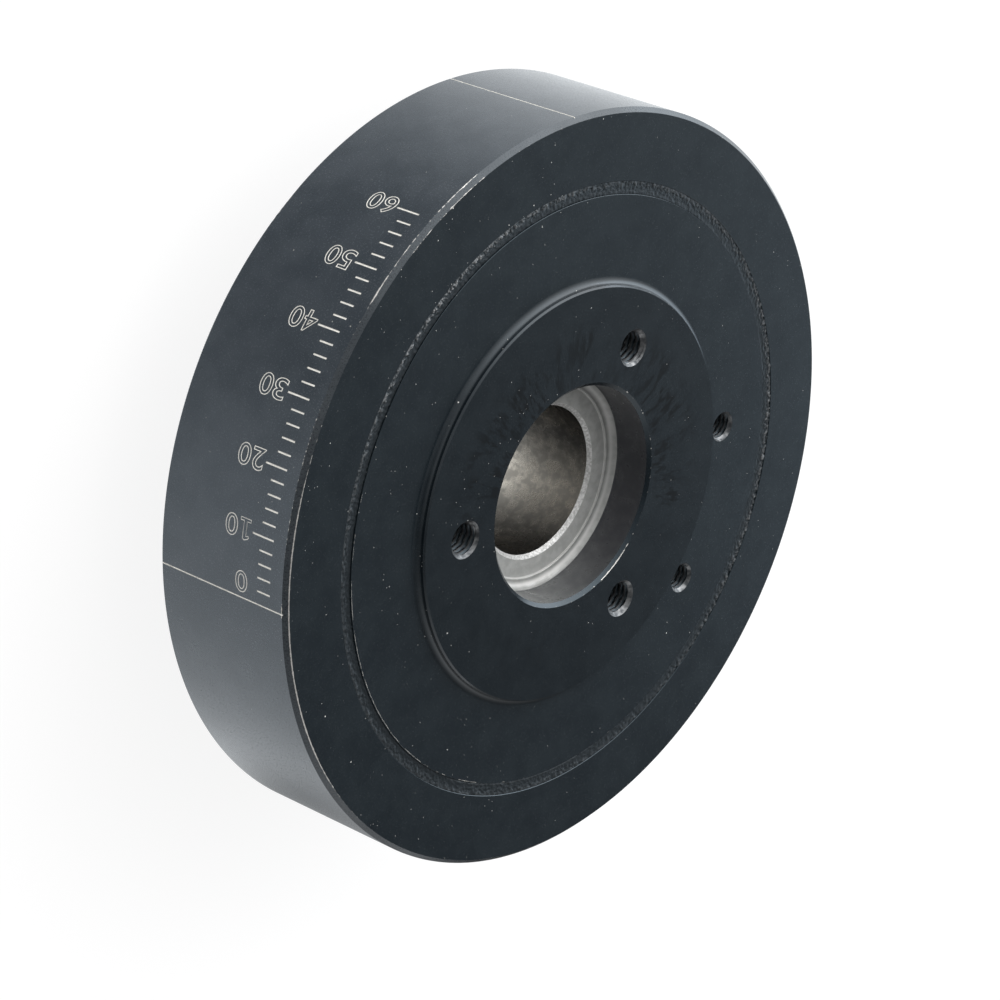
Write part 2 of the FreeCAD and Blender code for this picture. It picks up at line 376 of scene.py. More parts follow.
def numberCutter(sizes, digit, mark, start):
    # one outlined digit wrapped round the ring: it reads towards the rear, its top towards lower marks
    letter = digitOutline(sizes, digit)
    enlarged = sizes["numberHeight"] / sizes["digitTall"]
    letter.bevel_depth = sizes["numberLine"] / enlarged
    letter.bevel_resolution = 1
    piece = addObject(letter.name, letter)
    mesh = evaluatedMesh(piece)
    bpy.data.objects.remove(piece)
    flat = coordinates(mesh.vertices, "co")
    low, high = flat.min(0), flat.max(0)
    across = (flat[:, 0] - low[0]) / (high[0] - low[0])
    up = (flat[:, 1] - low[1]) / (high[1] - low[1]) - 0.5
    width = sizes["numberWidth"] * (sizes["oneWidth"] if digit == "1" else 1.0)
    lead = (sizes["numberWidth"] - width) / 2
    height = sizes["front"] - start - lead - across * width
    out = flat[:, 2] * enlarged + sizes["radius"] - sizes["numberSink"]
    turn = math.pi - math.radians(mark) + up * sizes["numberHeight"] / sizes["radius"]
    wrapped = np.column_stack([out * np.cos(turn), out * np.sin(turn), height]) * mm
    mesh.vertices.foreach_set("co", wrapped.ravel())
    mesh.update()
    return addObject("digit" + digit + str(mark), mesh)


def joined(name, pieces):
    # one object from several, as plain geometry
    points, faces = [], []
    for piece in pieces:
        offset = len(points)
        points += [tuple(vertex.co) for vertex in piece.data.vertices]
        faces += [tuple(offset + index for index in face.vertices) for face in piece.data.polygons]
        bpy.data.objects.remove(piece)
    return addObject(name, meshFrom(name, points, faces))


def makeRing(sizes):
    radius, bore, back, front = sizes["radius"], sizes["bore"], sizes["back"], sizes["front"]
    edge, boreEdge, over = sizes["edge"], sizes["boreEdge"], sizes["lineOver"]
    section = [(bore, back + boreEdge), (bore, front - boreEdge), (bore + boreEdge, front), (radius - edge, front),
               (radius, front - edge), (radius, back + edge), (radius - edge, back), (bore + boreEdge, back)]
    ring = turnedPiece("inertiaRing", section, sizes["segments"])
    first, width = front - sizes["scaleStart"], sizes["lineWidth"]
    cutters = [
        lineCutter("shortLines", sizes, width, first - sizes["shortLine"], first, 30, 0.0, 2.0, 5),
        lineCutter("longLines", sizes, width, first - sizes["longLine"], first, 6, 10.0, 10.0),
        lineCutter("zeroLine", sizes, sizes["zeroWidth"], back - over, front + over),
        lineCutter("quarterLine", sizes, sizes["quarterWidth"], back - over, front + over, 1, 90.0),
        numberCutter(sizes, "0", *sizes["loneNumber"]),
    ]
    for ten in range(1, 7):
        cutters.append(numberCutter(sizes, str(ten), ten * 10, sizes["numberStart"]))
        cutters.append(numberCutter(sizes, "0", ten * 10, sizes["numberStart"] + sizes["numberPitch"]))
    carve(ring, joined("engraving", cutters))
    low, high, thick = sizes["zeroTick"]
    top = front - edge
    carve(ring, boxCutter("zeroTick", (-radius - over, low, top - thick), (-radius + sizes["lineDepth"], high, top)))
    dropSlivers(ring)
    roundNormals(ring, sizes)
    return ring


def roundNormals(ring, sizes):
    # the outer face's normals point straight out of the axis, so that no facet shows round the engraving
    mesh = ring.data
    mesh.shade_smooth()
    mesh.set_sharp_from_angle(angle=math.radians(sizes["creaseAngle"]))
    least = (sizes["radius"] - touch) * mm
    normals = [tuple(corner.vector) for corner in mesh.corner_normals]
    for face in mesh.polygons:
        spots = [mesh.vertices[index].co for index in face.vertices]
        if min(math.hypot(spot.x, spot.y) for spot in spots) < least:
            continue
        for loop, spot in zip(face.loop_indices, spots):
            length = math.hypot(spot.x, spot.y)
            normals[loop] = (spot.x / length, spot.y / length, 0.0)
    mesh.normals_split_custom_set(normals)


ring = makeRing(ringSizes)
print("ring made", len(ring.data.polygons))


rubberSizes = {
    "segments": 1440, "inner": 79.2, "outer": 82.6, "back": 24.4, "front": 68.05, "rows": 14, "wallEnds": 0.6,
    "lip": 0.45, "lipDrop": 0.1, "swell": 0.2, "overRing": 0.6,
    "grain": 0.14, "grainScale": 1.7,
    "crumbs": 0.44, "crumbNoise": [(0.8, 0.9, 7.0), (1.1, 2.4, 3.0)], "crumbLeast": -0.3, "crumbShares": (0.4, 0.7),
    "crumbGain": (0.35, 1.1),
    "flash": 0.1, "flashMark": 55.0, "flashShare": 0.35, "flashIn": 0.28, "flashInShare": 0.05,
    "crumbMarks": [(-180, 0.5), (-150, 0.35), (-120, 0.12), (-60, 0.1), (0, 0.1), (20, 0.3), (40, 0.6), (60, 0.85),
                   (80, 0.45), (100, 0.15), (140, 0.3), (180, 0.5)],
    "lineMarks": [(-180, 0.0), (-110, 0.2), (-90, 0.7), (-60, 0.6), (-40, 0.1), (10, 0.1), (60, 0.15), (90, 0.35),
                  (120, 0.35), (145, 0.2), (170, 0.0), (180, 0.0)],
}


def rubberSection(sizes):
    # front face from the rim to the ring, then down the outer wall, the back face and the inner wall
    inner, outer, rows, ends = sizes["inner"], sizes["outer"], sizes["rows"], sizes["wallEnds"]
    top, low = sizes["front"] - ends, sizes["back"] + ends
    shares = [row / (rows - 1) for row in range(rows)]
    front = [(inner + (outer + sizes["lip"] - inner) * share, sizes["front"]) for share in shares]
    back = [(outer - (outer - inner) * share, sizes["back"]) for share in shares]
    return front + [(outer, top), (outer, low)] + back + [(inner, low), (inner, top)]


def makeRubber(sizes, ring):
    # the squeezed-out rubber is lumpy, and crumbs of it stand over the ring's edge
    rubber = turnedPiece("elastomerBand", rubberSection(sizes), sizes["segments"])
    spots = coordinates(rubber.data.vertices, "co") / mm
    radius = np.hypot(spots[:, 0], spots[:, 1])
    thick, grain = sizes["outer"] - sizes["inner"], sizes["grainScale"]
    crumbStart, crumbFull = sizes["crumbShares"]
    least, gain = sizes["crumbGain"]
    marks, amounts = zip(*sizes["crumbMarks"])
    for index, (x, y, height) in enumerate(spots):
        isFront = height > sizes["front"] - touch
        if not isFront and height > sizes["back"] + touch:
            continue
        share = (radius[index] - sizes["inner"]) / thick
        shift = sizes["grain"] * noise.fractal((x * grain, y * grain, height), 1.0, 2.1, 3)
        mark = math.atan2(y, -x)
        if not isFront:
            spots[index, 2] -= abs(shift)
            continue
        if share < sizes["flashShare"]:
            # round the flash's mark a thin flash of rubber lies over the hub's edge
            near = 0.5 + 0.8 * math.cos(mark - math.radians(sizes["flashMark"]))
            over = max(0.0, min(1.0, near)) * (1 - share / sizes["flashShare"]) ** 0.5
            shift += sizes["flash"] * over
            if share < sizes["flashInShare"]:
                spots[index, :2] *= 1 - sizes["flashIn"] * over / radius[index]
        shift += sizes["swell"] * max(0.0, min(1.0, share)) ** 2
        if share > crumbStart:
            crumbs = sum(weight * noise.noise((x * scale, y * scale, seed))
                         for weight, scale, seed in sizes["crumbNoise"])
            crumbs *= least + gain * np.interp(math.degrees(mark), marks, amounts)
            full = min(1.0, (share - crumbStart) / (crumbFull - crumbStart))
            shift += sizes["crumbs"] * max(sizes["crumbLeast"], crumbs) * full
        if share > 1.0:
            shift -= sizes["lipDrop"] * (share - 1.0) * thick / sizes["lip"]
        spots[index, 2] += shift
    spots[:, 2] = np.minimum(spots[:, 2], ring["front"] + sizes["overRing"])
    rubber.data.vertices.foreach_set("co", (spots * mm).ravel())
    rubber.data.update()
    rubber.data.shade_smooth()
    return rubber


rubber = makeRubber(rubberSizes, ringSizes)
print("rubber made", len(rubber.data.polygons))


def shaderGroup(name, inputs, outputs):
    # a group puts out only masks, values or vectors that change over the surface
    tree, given, result = newTree(name, "ShaderNodeTree", [(label, "Float") for label, value in inputs], outputs)
    for label, value in inputs:
        tree.interface.items_tree[label].default_value = value
    return tree, given, result


def useGroup(tree, group, **values):
    return build(tree, "ShaderNodeGroup", values, node_tree=group)


def stretch(tree, value, low, high, start=0.0, end=1.0):
    # smooth step from one range to another
    values = dict(enumerate((value, low, high, start, end)))
    return build(tree, "ShaderNodeMapRange", values, interpolation_type="SMOOTHSTEP")[0]


def noiseAt(tree, vector, scale, detail=2.0, roughness=0.5):
    return build(tree, "ShaderNodeTexNoise", {
        "Vector": vector, "Scale": scale, "Detail": detail, "Roughness": roughness})[0]


def noiseSized(tree, vector, size, detail, roughness):
    # noise whose lumps are about as large as size
    return noiseAt(tree, vector, calc(tree, "DIVIDE", 1.0, size), detail, roughness)


def scaled(tree, vector, factor):
    return build(tree, "ShaderNodeVectorMath", {0: vector, 1: factor}, operation="MULTIPLY")[0]


def combined(tree, *values):
    return build(tree, "ShaderNodeCombineXYZ", dict(enumerate(values)))[0]


def lengthOf(tree, across, up):
    return calc(tree, "SQRT", calc(tree, "ADD", times(tree, across, across), times(tree, up, up)))


def dialGroup():
    # where a point lies on the dial: radius and height in mm, mark in degrees clockwise from the zero line
    tree, given, result = shaderGroup("dialPlace", [], [
        ("Radius", "Float"), ("Height", "Float"), ("Mark", "Float"), ("Place", "Vector"), ("Along", "Vector")])
    inMm = scaled(tree, place(tree, "ShaderNodeTexCoord").outputs["Object"], (1 / mm, 1 / mm, 1 / mm))
    x, y, z = build(tree, "ShaderNodeSeparateXYZ", {0: inMm})
    radius = lengthOf(tree, x, y)
    mark = calc(tree, "DEGREES", calc(tree, "ARCTAN2", y, times(tree, x, -1.0)))
    # slow round the axis, quick across the turning marks
    along = combined(tree, calc(tree, "DIVIDE", x, radius), calc(tree, "DIVIDE", y, radius),
                     calc(tree, "ADD", radius, z))
    for label, value in (("Radius", radius), ("Height", z), ("Mark", mark), ("Place", inMm), ("Along", along)):
        feed(tree, result[label], value)
    return tree


def grainGroup():
    # fine turning marks, a soft cloudiness of the coat and its fine tooth
    tree, given, result = shaderGroup("turningGrain", [("Pitch", 0.35), ("Cloud Size", 9.0)], [
        ("Marks", "Float"), ("Cloud", "Float"), ("Tooth", "Float")])
    dial = useGroup(tree, dialPlace)
    along = scaled(tree, dial["Along"], (2.5, 2.5, 1.0))
    feed(tree, result["Marks"], noiseSized(tree, along, given["Pitch"], 3.0, 0.6))
    feed(tree, result["Cloud"], noiseSized(tree, dial["Place"], given["Cloud Size"], 4.0, 0.6))
    feed(tree, result["Tooth"], noiseAt(tree, dial["Place"], 2.2, 3.0, 0.7))
    return tree


def dustGroup():
    # scattered pale specks, each a fraction of a millimetre across
    tree, given, result = shaderGroup("dustSpecks", [("Spacing", 5.0), ("Size", 0.16), ("Share", 0.4)], [
        ("Dust", "Float")])
    cells = build(tree, "ShaderNodeTexVoronoi", {
        "Vector": useGroup(tree, dialPlace)["Place"], "Scale": calc(tree, "DIVIDE", 1.0, given["Spacing"])})
    pick = build(tree, "ShaderNodeSeparateColor", {0: cells["Color"]})
    size = calc(tree, "DIVIDE", times(tree, given["Size"], pick[1]), given["Spacing"])
    near = calc(tree, "LESS_THAN", cells["Distance"], size)
    feed(tree, result["Dust"], times(tree, near, calc(tree, "LESS_THAN", pick[0], given["Share"])))
    return tree


def wearGroup():
    # chipped coat along one turned edge at a given radius and height, within a band
    tree, given, result = shaderGroup("edgeWear", [
        ("Radius", 100.0), ("Height", 0.0), ("Band", 0.5), ("Amount", 0.5), ("Size", 1.2)], [("Wear", "Float")])
    dial = useGroup(tree, dialPlace)
    far = lengthOf(tree, *[calc(tree, "SUBTRACT", dial[label], given[label]) for label in ("Radius", "Height")])
    near = calc(tree, "SUBTRACT", 1.0, calc(tree, "DIVIDE", far, given["Band"]), clamp=True)
    patches = noiseSized(tree, dial["Place"], given["Size"], 3.0, 0.65)
    worn = stretch(tree, calc(tree, "ADD", times(tree, near, given["Amount"]), patches), 0.98, 1.02)
    feed(tree, result["Wear"], times(tree, worn, calc(tree, "GREATER_THAN", near, 0.0)))
    return tree


def smudgeGroup():
    # short dark streaks that point at the axis, between two radii
    tree, given, result = shaderGroup("radialSmudge", [
        ("Start", 30.0), ("End", 50.0), ("Width", 2.6), ("Length", 6.25), ("Fade In", 1.5), ("Fade Out", 9.0)], [
        ("Smudge", "Float")])
    dial = useGroup(tree, dialPlace)
    turn = calc(tree, "DIVIDE", given["End"], given["Width"])
    reach = combined(tree, turn, turn, calc(tree, "DIVIDE", 1.0, given["Length"]))
    streaks = noiseAt(tree, scaled(tree, dial["Along"], reach), 1.0, 3.0, 0.6)
    patches = noiseAt(tree, dial["Place"], 0.085)
    inside = calc(tree, "ADD", given["Start"], given["Fade In"])
    outside = calc(tree, "SUBTRACT", given["End"], given["Fade Out"])
    near = times(tree, stretch(tree, dial["Radius"], given["Start"], inside),
                 stretch(tree, dial["Radius"], given["End"], outside))
    mask = times(tree, near, stretch(tree, patches, 0.40, 0.54))
    feed(tree, result["Smudge"], times(tree, mask, stretch(tree, streaks, 0.46, 0.60)))
    return tree


def stainGroup():
    # an oval smear with an uneven edge
    tree, given, result = shaderGroup("ovalStain", [
        ("Mark", 0.0), ("Height", 0.0), ("Half Turn", 5.0), ("Half Height", 2.0)], [("Stain", "Float")])
    dial = useGroup(tree, dialPlace)
    far = lengthOf(tree, *[
        calc(tree, "DIVIDE", calc(tree, "SUBTRACT", dial[label], given[label]), given[half])
        for label, half in (("Mark", "Half Turn"), ("Height", "Half Height"))])
    uneven = calc(tree, "MULTIPLY_ADD", noiseAt(tree, dial["Place"], 0.5, 3.0, 0.6), 1.2, far)
    feed(tree, result["Stain"], stretch(tree, uneven, 1.6, 1.2))
    return tree


dialPlace = dialGroup()
turningGrain = grainGroup()
dustSpecks = dustGroup()
edgeWear = wearGroup()
radialSmudge = smudgeGroup()
ovalStain = stainGroup()


def mixed(tree, amount, first, second):
    # a mix of two colours: a plain one is a tuple, whose alpha is added here
    colours = [(*value, 1.0) if isinstance(value, tuple) else value for value in (first, second)]
    return build(tree, "ShaderNodeMix", {0: amount, 6: colours[0], 7: colours[1]}, data_type="RGBA")[2]


def markRamp(tree, stops):
    # a value that follows the mark angle, straight from stop to stop
    node = place(tree, "ShaderNodeValToRGB")
    spots = node.color_ramp.elements
    for spot, (mark, value) in zip((spots[0], spots[1]), (stops[0], stops[-1])):
        spot.position = (mark + 180) / 360
        spot.color = (value, value, value, 1)
    for mark, value in stops[1:-1]:
        spots.new((mark + 180) / 360).color = (value, value, value, 1)
    mark = useGroup(tree, dialPlace)["Mark"]
    feed(tree, node.inputs[0], calc(tree, "MULTIPLY_ADD", mark, 1 / 360, 0.5))
    return node.outputs[0]


def bumpFrom(tree, height, depth, before=None):
    # depth in mm
    return build(tree, "ShaderNodeBump", {
        "Strength": 1.0, "Distance": depth * mm, "Height": height, "Normal": before})[0]


def newMaterial(name, kind="ShaderNodeBsdfPrincipled"):
    # the material, its nodes and the sockets of its last shader
    material = bpy.data.materials.new(name)
    material.use_nodes = True
    tree = material.node_tree
    tree.nodes.clear()
    shader = place(tree, kind)
    output = place(tree, "ShaderNodeOutputMaterial")
    tree.links.new(shader.outputs[0], output.inputs[0])
    return material, tree, shader.inputs


faceLook = {
    "dark": (0.0052, 0.0088, 0.0122), "pale": (0.0095, 0.0142, 0.0180), "bare": (0.60, 0.58, 0.55),
    "dust": (0.72, 0.71, 0.68), "dustShare": 0.9, "speckle": 0.012, "tooth": 0.006,
    "smooth": 0.20, "rough": 0.28, "specular": 0.55, "tint": (0.72, 0.88, 1.0),
}
bossLook = {**faceLook, "dark": (0.0014, 0.0038, 0.0062), "pale": (0.0050, 0.0082, 0.0110), "smooth": 0.17}
footLook = {**faceLook, "tint": (0.84, 0.93, 1.0), "smooth": 0.15, "rough": 0.22}
rimLook = {
    "dark": (0.014, 0.020, 0.027), "pale": (0.026, 0.033, 0.041), "bare": (0.60, 0.58, 0.55),
    "dust": (0.42, 0.41, 0.38), "dustShare": 0.24, "speckle": 0.015, "tooth": 0.018,
    "smooth": 0.18, "rough": 0.30, "specular": 0.58, "tint": (0.83, 0.92, 1.0),
    "stain": {"Mark": -33.0, "Height": 56.5, "Half Turn": 5.0, "Half Height": 1.5},
}
chamferLook = {**rimLook, "dark": (0.018, 0.022, 0.026), "pale": (0.034, 0.039, 0.044), "smooth": 0.24, "rough": 0.34,
               "tooth": 0.008}
dustLook = {
    "marks": [(-180, 0.3), (-90, 0.4), (-50, 0.9), (40, 1.0), (80, 0.7), (120, 0.4), (180, 0.3)],
    "patchScale": 0.06, "patches": (0.36, 0.60, 0.15, 1.0),
    "coarse": {"Spacing": 3.2, "Size": 0.21}, "fine": {"Spacing": 1.4, "Size": 0.15},
    "fineShare": 0.8, "finePale": 0.5,
}
oilLook = {"colour": (0.0001, 0.0004, 0.0010), "shine": 0.45}


def dustOver(tree, colour, look):
    # coarse and fine specks, thicker in patches and at some marks
    patches = noiseAt(tree, useGroup(tree, dialPlace)["Place"], dustLook["patchScale"])
    share = times(tree, times(tree, markRamp(tree, dustLook["marks"]), look["dustShare"]),
                  stretch(tree, patches, *dustLook["patches"]))
    coarse = useGroup(tree, dustSpecks, **dustLook["coarse"], Share=share)["Dust"]
    fine = useGroup(tree, dustSpecks, **dustLook["fine"], Share=times(tree, share, dustLook["fineShare"]))["Dust"]
    amount = calc(tree, "MAXIMUM", coarse, times(tree, fine, dustLook["finePale"]))
    return mixed(tree, amount, colour, look["dust"])


def coatMaterial(name, look, edges, smudge=None):
    # blue-black satin coat over turned steel, worn through along the named edges
    material, tree, inputs = newMaterial(name)
    grain = useGroup(tree, turningGrain)
    colour = mixed(tree, stretch(tree, grain["Cloud"], 0.32, 0.68), look["dark"], look["pale"])
    colour = mixed(tree, stretch(tree, grain["Tooth"], 0.5, 0.72, 0.0, look["speckle"]), colour, look["bare"])
    if "stain" in look:
        colour = mixed(tree, useGroup(tree, ovalStain, **look["stain"])["Stain"], colour, look["dark"])
    roughness = stretch(tree, grain["Tooth"], 0.25, 0.75, look["smooth"], look["rough"])
    if smudge:
        oil = times(tree, useGroup(tree, radialSmudge)["Smudge"], markRamp(tree, smudge))
        colour = mixed(tree, oil, colour, oilLook["colour"])
        roughness = times(tree, roughness, calc(tree, "MULTIPLY_ADD", oil, -oilLook["shine"], 1.0))
    worn = 0.0
    for edge in edges:
        spot = {label: edge[label] for label in ("Radius", "Height", "Band", "Size")}
        wear = useGroup(tree, edgeWear, Amount=markRamp(tree, edge["marks"]), **spot)["Wear"]
        worn = calc(tree, "MAXIMUM", wear, worn)
    colour = mixed(tree, worn, colour, look["bare"])
    feed(tree, inputs["Metallic"], times(tree, worn, 0.5))
    feed(tree, inputs["Base Color"], dustOver(tree, colour, look))
    feed(tree, inputs["Roughness"], roughness)
    inputs["Specular IOR Level"].default_value = look["specular"]
    inputs["Specular Tint"].default_value = (*look["tint"], 1.0)
    bump = bumpFrom(tree, grain["Marks"], 0.006)
    feed(tree, inputs["Normal"], bumpFrom(tree, grain["Tooth"], look["tooth"], bump))
    return material


def steelMaterial(name, look):
    # bare turned steel with faint stains; some places get a paler patch by mark, which is painted light, and pale and
    # dark rings, which are painted highlights and a painted shade
    material, tree, inputs = newMaterial(name)
    grain = useGroup(tree, turningGrain, **{"Pitch": 0.3, "Cloud Size": look["mottle"]})
    colour = mixed(tree, stretch(tree, grain["Cloud"], 0.35, 0.65), look["pale"], look["dark"])
    # a paler patch at some marks is painted light on that side of the surface
    if "paintedLightPatch" in look:
        amount = times(tree, markRamp(tree, look["paintedLightMarks"]), stretch(tree, grain["Cloud"], 0.62, 0.40, 0.55, 1.0))
        colour = mixed(tree, amount, colour, look["paintedLightPatch"])
    # pale rings are painted highlights and the dark one is a painted shade, each at its radius
    for middle, half, amount, tone in look.get("paintedLightAndShadeRings", []):
        off = calc(tree, "ABSOLUTE", calc(tree, "SUBTRACT", useGroup(tree, dialPlace)["Radius"], middle))
        colour = mixed(tree, times(tree, stretch(tree, off, half, 0.0), amount), colour, (tone, tone, tone * 0.98))
    feed(tree, inputs["Base Color"], colour)
    inputs["Metallic"].default_value = look["metal"]
    feed(tree, inputs["Roughness"], stretch(tree, grain["Cloud"], 0.3, 0.7, look["smooth"], look["rough"]))
    feed(tree, inputs["Normal"], bumpFrom(tree, grain["Marks"], look["marks"]))
    return material


def engravedMaterial(name):
    # freshly cut metal at the bottom of the lines and numbers
    material, tree, inputs = newMaterial(name)
    grain = useGroup(tree, turningGrain, **{"Pitch": 0.3, "Cloud Size": 1.5})
    feed(tree, inputs["Base Color"], mixed(tree, grain["Cloud"], (0.84, 0.82, 0.77), (0.97, 0.96, 0.93)))
    inputs["Roughness"].default_value = 0.6
    return material


# the crumbs colour is a painted highlight, laid on the highest crumbs only
rubberLook = {
    "cloudSize": 0.4, "dark": (0.0065, 0.009, 0.011), "crumbs": (0.46, 0.465, 0.47), "line": (0.055, 0.062, 0.068),
    "crumbsIn": (0.7, 1.6, 0.14, 1.0), "crumbsOut": (0.15, -0.35), "highlightHeights": (0.04, 0.40),
    "linePlace": 0.4, "lineBand": 0.7, "lineSize": 2.5, "lineShare": 0.8,
    "tint": (0.75, 0.89, 1.0, 1.0), "rough": 0.36, "lumps": 0.22,
}


def rubberMaterial(name, sizes, look):
    # dark satin rubber; the highest crumbs towards the ring are painted pale, a painted highlight on their tops, and a
    # pale line runs along the hub
    material, tree, inputs = newMaterial(name)
    grain = useGroup(tree, turningGrain, **{"Cloud Size": look["cloudSize"]})
    dial = useGroup(tree, dialPlace)
    inner, outer, front = sizes["inner"], sizes["outer"], sizes["front"]
    start, full, least, most = look["crumbsIn"]
    far, near = look["crumbsOut"]
    low, high = look["highlightHeights"]
    band = times(tree, stretch(tree, dial["Radius"], inner + start, inner + full, least, most),
                 stretch(tree, dial["Radius"], outer + far, outer + near))
    # painted highlight: the higher a crumb stands above the front, the paler it is painted
    crumbHighlight = times(tree, stretch(tree, dial["Height"], front + low, front + high),
                   stretch(tree, grain["Cloud"], 0.44, 0.54, 0.4, 1.0))
    rough = markRamp(tree, sizes["crumbMarks"])
    colour = mixed(tree, times(tree, times(tree, crumbHighlight, band), rough), look["dark"], look["crumbs"])
    line = useGroup(tree, edgeWear, Radius=inner + look["linePlace"], Height=front, Band=look["lineBand"],
                    Size=look["lineSize"], Amount=markRamp(tree, sizes["lineMarks"]))["Wear"]
    feed(tree, inputs["Base Color"], mixed(tree, times(tree, line, look["lineShare"]), colour, look["line"]))
    inputs["Specular Tint"].default_value = look["tint"]
    inputs["Roughness"].default_value = look["rough"]
    lumpy = calc(tree, "MULTIPLY_ADD", times(tree, rough, band), 0.8, 0.2)
    feed(tree, inputs["Normal"], bumpFrom(tree, times(tree, grain["Tooth"], lumpy), look["lumps"]))
    return material


rimEdge = {"Radius": 101.6, "Height": 67.25, "Band": 0.42, "Size": 1.1, "marks": [
    (-180, 0.3), (-60, 0.24), (-2, 0.3), (1, 0.5), (4, 0.36), (14, 0.5), (18, 0.4), (24, 0.52), (29, 0.5), (33, 0.34),
    (44, 0.36), (46, 0.85), (49, 0.8), (50, 0.36), (51, 0.62), (56, 0.62), (58, 0.3), (62, 0.6), (69, 0.65),
    (71, 0.3), (120, 0.36), (180, 0.3)]}
faceEdge = {"Radius": 100.4, "Height": 68.45, "Band": 0.34, "Size": 1.0, "marks": [
    (-180, 0.3), (-70, 0.26), (-34, 0.5), (-22, 0.95), (10, 1.0), (20, 0.6), (28, 0.36), (52, 0.34), (57, 0.62),
    (60, 0.4), (64, 0.66), (69, 0.62), (72, 0.36), (120, 0.34), (180, 0.3)]}
rearEdge = {"Radius": 101.6, "Height": 25.2, "Band": 0.45, "Size": 1.2, "marks": [
    (-180, 0.3), (50, 0.3), (54, 0.7), (56, 0.7), (59, 0.3), (180, 0.3)]}
mouthEdge = {"Radius": 30.3, "Height": 70.8, "Band": 0.5, "Size": 1.2, "marks": [
    (-180, 0.42), (-140, 0.42), (-127, 0.68), (-116, 0.72), (-106, 0.42), (-60, 0.38), (-40, 0.36), (90, 0.3),
    (140, 0.42), (180, 0.42)]}
# along the hub's rim edge: partly worn coat, partly a painted highlight of that edge
seatEdge = {"Radius": 79.0, "Height": 68.4, "Band": 0.17, "Size": 4.0, "marks": [
    (-180, 0.36), (-120, 0.4), (-100, 0.5), (-64, 0.62), (-48, 0.8), (6, 0.8), (20, 0.5), (34, 0.2), (120, 0.2),
    (180, 0.36)]}
footEdge = {"Radius": 55.7, "Height": 70.6, "Band": 0.5, "Size": 1.4, "marks": [
    (-180, 0.46), (-60, 0.3), (110, 0.3), (140, 0.5), (160, 0.54), (180, 0.46)]}
smudgeMarks = [(-180, 0.9), (-160, 0.9), (-145, 0.1), (-60, 0.15), (0, 0.1), (12, 0.8), (30, 1.0), (70, 1.0),
               (84, 0.4), (96, 1.0), (110, 0.3), (138, 0.6), (150, 1.0), (180, 0.9)]
rimCoat = coatMaterial("blueBlackRim", rimLook, [rimEdge, rearEdge])
chamferCoat = coatMaterial("blueBlackChamfer", chamferLook, [rimEdge, faceEdge])
ringCoat = coatMaterial("blueBlackFace", faceLook, [faceEdge])
# its bare line along the rim edge is partly a painted highlight
hubCoat = coatMaterial("blueBlackHub", faceLook, [seatEdge])
bossCoat = coatMaterial("blueBlackBoss", bossLook, [mouthEdge], smudgeMarks)
footCoat = coatMaterial("blueBlackFoot", footLook, [footEdge])
steelLooks = {
    # on the bore a pale warm patch at some marks is painted light
    "bore": {"pale": (0.19, 0.185, 0.18), "dark": (0.10, 0.10, 0.10), "paintedLightPatch": (0.76, 0.70, 0.61), "metal": 1.0,
             "paintedLightMarks": [(-180, 0.3), (-162, 0.6), (-150, 1.0), (-128, 0.75), (-112, 0.4), (-95, 0.1), (140, 0.0),
                            (170, 0.05), (180, 0.3)],
             "mottle": 3.0, "smooth": 0.22, "rough": 0.40, "marks": 0.005},
    # the bore's chamfer is pale and mostly matt: a painted highlight on that edge
    "edge": {"pale": (0.70, 0.70, 0.69), "dark": (0.40, 0.40, 0.39), "metal": 0.2,
             "mottle": 0.6, "smooth": 0.3, "rough": 0.45, "marks": 0.004},
    "land": {"pale": (0.41, 0.415, 0.405), "dark": (0.33, 0.335, 0.325), "metal": 0.14,
             # painted highlights at the step and on the fillet, and a painted shade at the fillet's start
             "paintedLightAndShadeRings": [(26.25, 0.3, 0.8, 0.72), (26.95, 0.35, 0.6, 0.22), (28.0, 0.8, 0.7, 0.62)],
             "mottle": 2.5, "smooth": 0.30, "rough": 0.42, "marks": 0.012},
    # on the counterbore wall a paler patch at some marks is painted light
    "wall": {"pale": (0.094, 0.096, 0.104), "dark": (0.074, 0.076, 0.085), "metal": 0.4, "paintedLightPatch": (0.16, 0.165, 0.165),
             "paintedLightMarks": [(-180, 0.0), (-145, 0.0), (-112, 0.6), (-80, 1.0), (0, 1.0), (60, 0.5), (120, 0.1),
                            (180, 0.0)],
             "mottle": 3.5, "smooth": 0.26, "rough": 0.34, "marks": 0.003},
    "thread": {"pale": (0.045, 0.048, 0.052), "dark": (0.012, 0.013, 0.015), "metal": 0.4,
               "mottle": 0.8, "smooth": 0.35, "rough": 0.5, "marks": 0.004},
    "mouth": {"pale": (0.20, 0.205, 0.21), "dark": (0.06, 0.065, 0.07), "metal": 0.95,
              "mottle": 1.6, "smooth": 0.35, "rough": 0.5, "marks": 0.004},
}
steels = [steelMaterial(name + "Steel", look) for name, look in steelLooks.items()]
engravedSteel = engravedMaterial("engravedSteel")
bandRubber = rubberMaterial("bandRubber", rubberSizes, rubberLook)


def paint(piece, materials, index):
    mesh = piece.data
    mesh.materials.clear()
    for material in materials:
        mesh.materials.append(material)
    mesh.polygons.foreach_set("material_index", np.asarray(index, np.int32))


def holeDistance(hole, centres):
    # how far each face lies from the axis of the nearest hole of a circle of holes
    turns = [-math.radians(hole["first"] + hole["step"] * index) for index in range(hole["count"])]
    spots = [(hole["circle"] * math.cos(turn), hole["circle"] * math.sin(turn)) for turn in turns]
    return np.min([np.hypot(centres[:, 0] - x, centres[:, 1] - y) for x, y in spots], axis=0)


paintZones = {"wallShare": 0.6, "crest": 0.25, "bossDeep": 1.0, "bossOver": 0.1, "rimDeep": 0.4, "cutDeep": 0.004}


